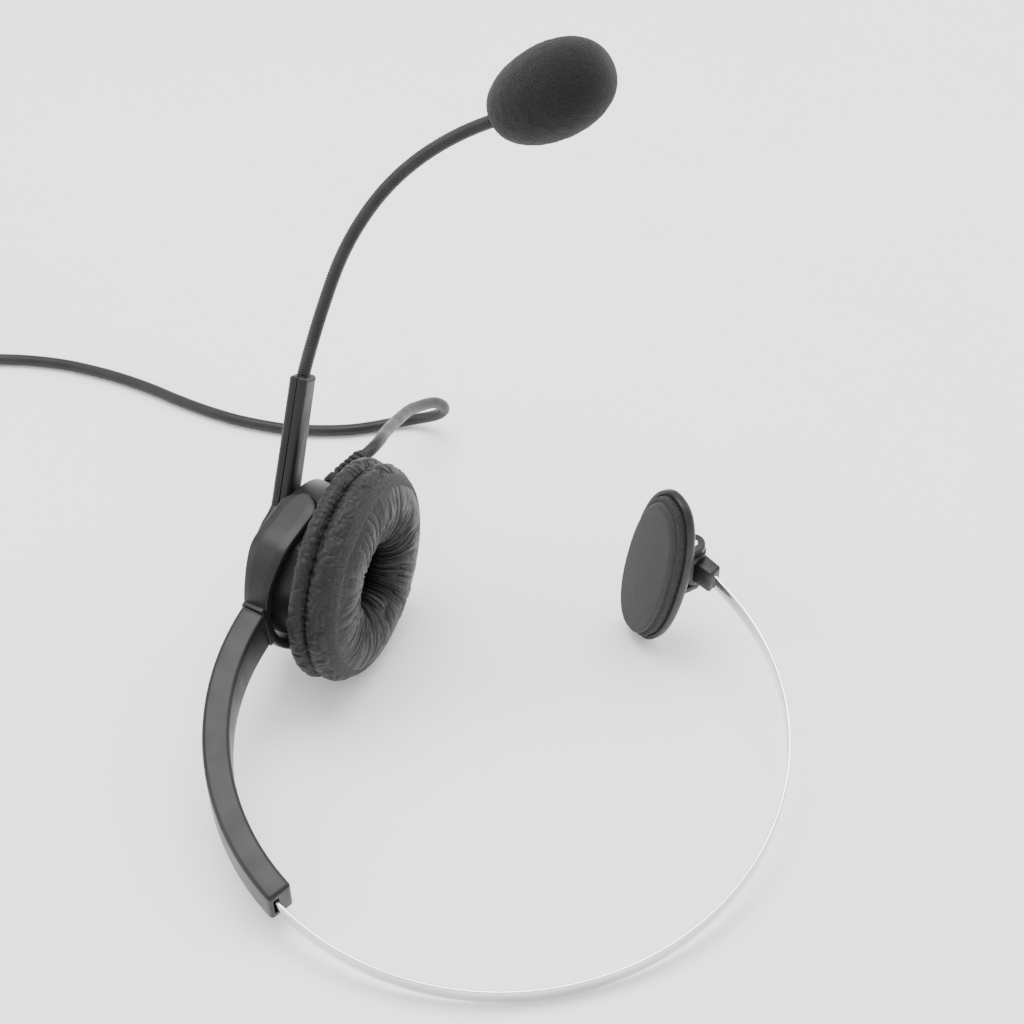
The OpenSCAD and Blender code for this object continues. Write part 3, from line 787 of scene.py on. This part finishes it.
relief_profile = [(0, -1.5), (2.9, -1.5), (3.3, -0.9), (3.3, 1.3), (2.9, 1.8), (2.25, 2.3)]
for n in range(5):
    start = 2.9 + 1.75 * n
    top = 3.2 - 0.13 * n
    relief_profile += [(2.2, start), (top - 0.25, start + 0.12), (top, start + 0.4),
                       (top, start + 0.85), (top - 0.25, start + 1.12), (2.2, start + 1.25)]
relief_profile += [(2.2, 11.5), (2.1, 12.0), (1.8, 12.2), (0, 12.2)]
relief = revolve("strain_relief_sleeve", relief_profile, RELIEF, 40)
finish(relief, SOFT_RUBBER, "soft_plastic", "ear_cup", "strain_relief")

# ---------------------------------------------------------------- ear cushion

# the cover's section, from the hole's floor over the face and the seam to the rim's back
COVER = smooth_route([
    (12.5, 0, 7.0), (10.2, 0, 7.2), (9.0, 0, 8.3), (8.7, 0, 10.0), (9.1, 0, 11.9), (10.3, 0, 13.7),
    (12.4, 0, 15.3), (15.2, 0, 16.4), (18.4, 0, 16.9), (21.6, 0, 16.5), (24.6, 0, 15.3),
    (27.0, 0, 13.5), (28.5, 0, 11.4), (28.7, 0, 9.6), (28.0, 0, 8.3), (27.2, 0, 7.75),
    (27.9, 0, 7.2), (28.9, 0, 6.3), (29.2, 0, 5.1), (28.8, 0, 3.8), (27.5, 0, 3.05), (25.9, 0, 2.85),
    (24.9, 0, 3.0), (24.7, 0, 3.3)], 7)
COVER_BACK = [Vector(p) for p in ((25.6, 0, 3.5), (28.65, 0, 3.5), (28.7, 0, 6.75), (24.0, 0, 6.9),
                                  (18.0, 0, 6.9))]
COVER_STEPS = 620


def ridged(v):
    """Sharp valleys between round folds, from -1 to 1."""
    return 1 - 2 * (1 - min(abs(noise.noise(v)) * 2.2, 1)) ** 2.2


def wrinkle(r, z, angle):
    """How far the leatherette stands out from its smooth shape, in millimetres."""
    c, s = math.cos(angle), math.sin(angle)
    on_face = max(0.0, min(1.0, (27.5 - r) / 6)) if z > 9 else 0.0
    near_hole = max(0.0, min(1.0, (19 - r) / 9)) if z > 7.6 else 0.0
    sway = 0.10 * noise.noise(Vector((c * 2.1, s * 2.1, r * 0.12)))
    ca, sa = math.cos(angle + sway), math.sin(angle + sway)
    fine = ridged(Vector((ca * 13.5, sa * 13.5, r * 0.055)))
    broad = ridged(Vector((ca * 6.2 + 4, sa * 6.2, r * 0.07 + 3)))
    height = on_face * (0.20 * broad + 0.13 * fine * (0.4 + 0.6 * near_hole))
    height += near_hole * (0.34 * fine + 0.22 * broad)
    seam = math.exp(-((z - 7.9) / 2.3) ** 2) if r > 25 else 0.0
    gather = ridged(Vector((c * 17, s * 17, z * 0.16)))
    height += seam * 0.26 * gather
    lip = max(0.0, min(1.0, (7.6 - z) / 1.5)) if r > 24 else 0.0
    height += lip * (0.20 * ridged(Vector((c * 15 + 2, s * 15, z * 0.3)))
                     + 0.12 * noise.noise(Vector((c * 9, s * 9, z * 0.5 + 7))))
    side = max(0.0, 1 - abs(z - 11.5) / 4.5) if r > 22 else 0.0
    p = Vector((r * c, r * s, z * 1.4)) * 0.36
    warp = Vector((noise.noise(p * 0.7), noise.noise(p * 0.7 + Vector((9, 2, 5))), 0)) * 1.1
    height += side * 0.30 * ridged(p * 0.85 + warp)
    height += 0.07 * noise.noise(p * 3.1)
    height += 0.35 * on_face * noise.noise(Vector((c * 1.6, s * 1.6, r * 0.05 + 11)))
    return height


cover_rings = []
section = COVER + COVER_BACK
normals = []
for i, p in enumerate(section):
    ahead = section[(i + 1) % len(section)] - section[i - 1]
    normals.append(Vector((ahead.z, 0, -ahead.x)).normalized())
for i, p in enumerate(section):
    normal = -normals[i]
    free = 1.0 if i < len(COVER) - 4 else 0.0
    free *= min(1.0, i / 8)
    ring = []
    for k in range(COVER_STEPS):
        angle = 2 * math.pi * k / COVER_STEPS
        out = wrinkle(p.x, p.z, angle) * free
        r, z = p.x + normal.x * out, p.z + normal.z * out
        ring.append((r * math.cos(angle), r * math.sin(angle), z))
    cover_rings.append(ring)
cushion = outward(build("ear_cushion_cover", *skin(cover_rings, loop=True), EAR))
cushion.data.set_sharp_from_angle(angle=math.pi)
finish(cushion, LEATHERETTE, "leatherette", "ear_cup", "cushion_cover")

foam_profile = rounded([(10.4, 8.4), (27.4, 8.4), (27.4, 15.4), (10.4, 15.4)], 3.0, 5)
cushion_filling = revolve("ear_cushion_foam", foam_profile, EAR, 96, closed=True)
finish(cushion_filling, PAD_FOAM, "black_foam", "ear_cup", "cushion_foam")

# ---------------------------------------------------------------- boom

HOLDER_DISC = 12
HOLDER_ROOT = 4.2
HOLDER_TIP = 3.3
HOLDER_HALF = 2.5


def holder_outline():
    """The disc and the bar, with a hollow curve between them and a square-cut tip."""
    upper = []
    count = 60
    for n in range(count + 1):
        x = -HOLDER_DISC + (HOLDER_LENGTH - 1.3 + HOLDER_DISC) * (1 - math.cos(math.pi * n / count)) / 2
        disc = math.sqrt(max(HOLDER_DISC ** 2 - x * x, 0)) if x < HOLDER_DISC else 0
        bar = HOLDER_ROOT + (HOLDER_TIP - HOLDER_ROOT) * x / HOLDER_LENGTH if x > 0 else 0
        sharpness = 3.2
        if x <= 0:
            y = disc
        else:
            y = (disc ** sharpness + bar ** sharpness) ** (1 / sharpness)
        upper.append((x, y))
    tip = rounded([upper[-1], (HOLDER_LENGTH, HOLDER_TIP), (HOLDER_LENGTH, -HOLDER_TIP),
                   (upper[-1][0], -upper[-1][1])], [0, 1.1, 1.1, 0], 4)[1:-1]
    lower = [(x, -y) for x, y in reversed(upper)]
    outline = upper[1:] + tip + lower[:-1]
    return outline[::-1]


outline = holder_outline()
for name, low, high, flip in (("boom_holder_inner_half", 0.07, HOLDER_HALF, 1),
                              ("boom_holder_outer_half", 0.07, HOLDER_HALF, -1)):
    where = BOOM @ move(0, 0, HOLDER_MID)
    if flip < 0:
        where = where @ turn(180, "X")
    half = plate(name, outline, low, high, 1.15, where, 5, soft_low=0.22)
    bore = tube("neck_bore", [Vector((x, 0, 0)) for x in (0, 4, 8, 12)], 1.95, NECK[0], 32)
    half = boolean(half, bore, "DIFFERENCE")
    finish(half, PLASTIC, "black_plastic", "boom", name[:-5])

NECK_RADIUS = 1.75
NECK_PITCH = 0.72       # from one ridge of the wound neck to the next
NECK_RIDGE = 0.14


def neck_line(i, start, end, step=0.09):
    """The neck's centreline from a share of length i to another, in its own joint's frame."""
    radius = NECK_BEND[i]
    whole = radius * math.radians(NECK_HEADING[i + 1] - NECK_HEADING[i])
    count = max(int(whole * (end - start) / step), 2)
    out = []
    for n in range(count + 1):
        a = whole * (start + (end - start) * n / count) / radius
        p = NECK[i] @ (Vector((radius * math.sin(a), 0, radius * (1 - math.cos(a)))) * MM)
        out.append(BOOM.inverted() @ p / MM)
    return out


def neck_ridge(before):
    def radius(i, distance, a):
        phase = (before + distance) / NECK_PITCH - a / (2 * math.pi)
        return NECK_RADIUS - NECK_RIDGE * (0.5 + 0.5 * math.cos(2 * math.pi * phase)) ** 2
    return radius


travelled = 0
for name, runs, bodies, joint, nodes in (
        ("neck_lower", ((0, 0, 1), (1, 0, 0.5)), ("boom", "neck_2"), 1, ("gooseneck_1", "gooseneck_2")),
        ("neck_middle", ((1, 0.5, 1), (2, 0, 0.5)), ("neck_2", "neck_3"), 2, ("gooseneck_3",)),
        ("neck_upper", ((2, 0.5, 1), (3, 0, 1)), ("neck_3", "mic"), 3, ("gooseneck_4",))):
    line = neck_line(*runs[0])
    line += neck_line(*runs[1])[1:]
    neck = tube(name, line, neck_ridge(travelled), BOOM, 18)
    neck.data.set_sharp_from_angle(angle=math.pi)
    travelled += sum((b - a).length for a, b in zip(line, line[1:]))
    finish(neck, NECK_SLEEVE, "neck_coil")
    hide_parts(*nodes)
    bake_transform(neck)

# ---------------------------------------------------------------- windscreen

FOAM_LENGTH = 33.5
FOAM_RADIUS = 11.7
FOAM_START = -2         # the foam begins this far behind the neck's end
FOAM_MOUTH = 2.7        # the radius of the opening round the neck
MIC_TURN = 10           # degrees that the microphone leans out of the neck's plane
MIC_TURN_AXIS = (0.37, 0.93, 0.03)
MIC = (NECK[4] @ Matrix.Rotation(math.radians(MIC_TURN), 4, Vector(MIC_TURN_AXIS))
       @ move(0.4, 0, 0))
foam_rings = []
foam_count, foam_sides = 150, 210
for i in range(1, foam_count):
    a = math.pi * i / foam_count
    r = FOAM_RADIUS * math.sin(a) ** 0.85 * (1 - 0.05 * math.cos(a))
    x = FOAM_LENGTH / 2 * (1 - math.cos(a)) + FOAM_START
    if r < FOAM_MOUTH and i < foam_count / 2:
        continue
    ring = []
    for k in range(foam_sides):
        t = 2 * math.pi * k / foam_sides
        p = Vector((x, r * math.cos(t), r * math.sin(t)))
        lift = (0.10 * noise.noise(p * 0.45) + 0.05 * noise.noise(p * 1.9)
                + 0.045 * noise.noise(p * 4.4))
        dimple = -0.9 * math.exp(-((r - 1.9) / 1.5) ** 2) if i < foam_count / 2 else 0
        s = 1 + lift / max(r, 3)
        ring.append((x - dimple * 0.6 + lift * 0.5 * math.cos(a), p.y * s, p.z * s))
    foam_rings.append(ring)
first = foam_rings[0]
throat = [[(x + d, y * 0.96, z * 0.96) for x, y, z in first] for d in (2.4, 1.2)]
points, faces = skin(throat + foam_rings, end_point=(FOAM_LENGTH + FOAM_START, 0, 0))
windscreen = outward(build("foam_windscreen", points, faces, MIC))
windscreen.data.set_sharp_from_angle(angle=math.pi)
finish(windscreen, WINDSCREEN_FOAM, "black_foam", "mic", "windscreen")

# ---------------------------------------------------------------- temple pad


def oblong(length, width, steps=120):
    """A rounded oval outline, long in y, anticlockwise."""
    out = []
    for k in range(steps):
        a = 2 * math.pi * k / steps
        c, q = math.cos(a), math.sin(a)
        out.append((width / 2 * math.copysign(abs(c) ** 0.82, c),
                    length / 2 * math.copysign(abs(q) ** 0.9, q)))
    return out


def layered(name, outline, layers, where, crown=0.0):
    """A closed piece whose layers are the outline moved inwards, each as (amount, height)."""
    rings = [[(x, y, z) for x, y in inset(outline, amount)] for amount, z in layers]
    top = rings[-1]
    level = layers[-1][1]
    for k in range(1, 10):
        s = 1 - k / 10
        rings.append([(x * s, y * s, level + crown * (1 - s * s)) for x, y, z in top])
    points, faces = skin(rings, end_point=(0, 0, level + crown))
    return outward(build(name, points, faces, where))


PAD_OUTLINE = oblong(51, 22.6)
shell_layers = [(1.6, 0.2), (1.2, 0.1), (1.2, -1.3), (1.05, -1.55), (0.8, -1.6), (0.35, -1.6),
                (0.08, -1.5), (0, -1.2), (0, -0.2)]
for k in range(1, 7):
    a = math.pi / 2 * k / 6
    shell_layers.append((1.5 * (1 - math.cos(a)), -0.2 + 1.6 * math.sin(a)))
shell = layered("temple_shell_moulding", PAD_OUTLINE, shell_layers, PAD, 0.0)
LUG_TURN = 162.3
for low, reach in ((6.4, 5.6), (-8.8, 8.6)):
    lug = rounded([(0, -3), (reach, -3), (reach, 3), (0, 3)], 0.2, 2)
    lug = [(x, y) for x, y in lug if x > 0.5]
    lug += [(-3 * math.sin(math.pi * k / 18), 3 * math.cos(math.pi * k / 18)) for k in range(19)]
    shell = joined("temple_shell_moulding",
                   [shell, plate("lug", lug, low, low + 2.4, 0.45, PIN @ turn(LUG_TURN, "Z"), 3)])
finish(shell, PLASTIC, "black_plastic", "temple_pad", "temple_shell")

HEAD_SIDE = PAD @ turn(180, "Y")
foam_pad = plate("temple_foam_pad", oblong(48.2, 19.8), -0.05, 3.3, 0.6, HEAD_SIDE, 4, crown=0.3)
finish(foam_pad, PAD_FOAM, "black_foam", "temple_pad", "temple_foam")
face_pad = plate("temple_face_pad", oblong(45.6, 17.2), 3.0, 5.0, 0.9, HEAD_SIDE, 6,
                 crown=0.55, soft_low=0.15)
finish(face_pad, PAD_FACE, "grey_face", "temple_pad", "temple_face")

barrel = revolve("barrel", [(0, -6.1), (2.9, -6.1), (3.25, -5.95), (3.4, -5.6), (3.4, 5.6), (3.25, 5.95),
                            (2.9, 6.1), (0, 6.1)], PIN, 48)
tongue_outline = rounded([(-2.05, -8), (2.05, -8), (2.45, 0.5), (-2.45, 0.5)], 0.7, 4)
tongue = plate("tongue", tongue_outline, -3.9, 3.9, 0.6, PIN, 3)
end_block = boolean(barrel, tongue, "UNION")
end_block.name = "strip_end_moulding"
finish(end_block, PLASTIC, "black_plastic", "band", "strip_end_block")

# ---------------------------------------------------------------- plug and tie

PLUG = move(-215, 200, 4) @ turn(-90, "X")
boot = [(0, 0), (2.1, 0), (2.5, 0.3)]
for n in range(4):
    start = 1.2 + 1.6 * n
    top = 2.6 + 0.1 * n
    boot += [(top, start), (top + 0.05, start + 0.75), (2.15, start + 0.9), (2.15, start + 1.35)]
boot += [(3.0, 7.8), (3.5, 8.0), (3.9, 8.5), (3.9, 12.2), (3.68, 12.4), (3.68, 12.9), (3.9, 13.1),
         (3.9, 20.9), (3.6, 21.6), (3.1, 22.0), (0, 22.0)]
plug = revolve("plug_grip", boot, PLUG, 48)
finish(plug, SOFT_RUBBER, "black_plastic", "ear_cup", "plug_body")
pin_profile = [(0, 21.9), (2.5, 21.9), (2.6, 22.05), (2.6, 22.7), (2.45, 22.85), (1.75, 22.9),
               (1.75, 25.6), (1.68, 25.62), (1.68, 26.1), (1.75, 26.12), (1.75, 28.4), (1.68, 28.42),
               (1.68, 28.9), (1.75, 28.92), (1.75, 31.3), (1.68, 31.32), (1.68, 31.8), (1.74, 31.82),
               (1.74, 32.7), (1.2, 33.5), (1.25, 33.7), (1.68, 34.5), (1.7, 34.8), (1.4, 35.6),
               (0.6, 36.15), (0, 36.2)]
contact = revolve("plug_pin", pin_profile, PLUG, 40)
finish(contact, GOLD, "gold_plate", "ear_cup", "plug_contact")
contact.data.materials.append(INNER_PLASTIC)
for face in contact.data.polygons:
    local = PLUG.inverted() @ face.center / MM
    if math.hypot(local.x, local.y) > 1.6 and any(
            start + 0.02 < local.z < start + 0.48 for start in (25.62, 28.42, 31.32)):
        face.material_index = 1

TIE_RADIUS = 18         # where the tie crosses the coil, from the coil's centre
TIE_HALF = 6.9
TIE_TOP = 10.05
TIE_OUTER = 0.95
TIE_INNER = 0.1


def tie_section(grow):
    """The tie's arch over the coil, as (radius, height), grown outwards by that much."""
    half, top = TIE_HALF + grow, TIE_TOP + grow
    low, high = TIE_RADIUS - half, TIE_RADIUS + half
    return rounded([(low, 0.02), (low, 4.4), (low + 3.6, top), (high - 3.6, top), (high, 4.4),
                    (high, 0.02)], [0, 2.2, 2.0, 2.0, 2.2, 0], 6, closed=False)


tie_rings = []
for n in range(13):
    a = math.radians(20 + 28 * n / 12)
    pinch = 0.12 if n in (0, 12) else 0
    loop = tie_section(TIE_OUTER - pinch) + tie_section(TIE_INNER + pinch)[::-1]
    tie_rings.append([(r * math.cos(a), r * math.sin(a), z) for r, z in loop])
tie = outward(build("cord_strap", *skin(tie_rings), move(*COIL_CENTRE, 0)))
finish(tie, PAD_FOAM, "soft_plastic", "ear_cup", "cord_tie")

# ---------------------------------------------------------------- floor and light

FLOOR_HALF = 3          # metres
FLOOR_LEVEL = -0.0002

floor_mesh = bpy.data.meshes.new("floor")
floor_corners = [(x * FLOOR_HALF, y * FLOOR_HALF, FLOOR_LEVEL)
                 for x, y in ((-1, -1), (1, -1), (1, 1), (-1, 1))]
floor_mesh.from_pydata(floor_corners, [], [(0, 1, 2, 3)])
floor = bpy.data.objects.new("floor", floor_mesh)
bpy.context.collection.objects.link(floor)
paper = Shader("white_floor").set(Specular_IOR_Level=0.25)
paper.colours(paper.noise(9, 3), (0.97, 0.97, 0.97), (0.99, 0.99, 0.99))
paper.rough(paper.noise(30, 3), 0.5, 0.6)
floor.data.materials.append(paper.material)

world = bpy.data.worlds.new("studio")
world.use_nodes = True
world.node_tree.nodes["Background"].inputs["Color"].default_value = (1, 1, 1, 1)
world.node_tree.nodes["Background"].inputs["Strength"].default_value = 1.5
bpy.context.scene.world = world


def softbox(name, position, aim, width, height, power):
    """A rectangular lamp, in metres and watts."""
    data = bpy.data.lights.new(name, "AREA")
    data.shape = "RECTANGLE"
    data.size, data.size_y = width, height
    data.energy = power
    lamp = bpy.data.objects.new(name, data)
    bpy.context.collection.objects.link(lamp)
    direction = Vector(aim) - Vector(position)
    lamp.matrix_world = (Matrix.Translation(position)
                         @ direction.to_track_quat("-Z", "Y").to_matrix().to_4x4())


softbox("overhead", (0.0, 0.25, 1.1), (0, 0, 0), 1.0, 0.7, 16)
softbox("left", (-1.0, -0.1, 0.55), (0, 0, 0.03), 0.5, 0.9, 4)
softbox("right", (0.95, 0.45, 0.6), (0, 0, 0.05), 0.4, 0.8, 3)

bpy.context.view_layer.update()
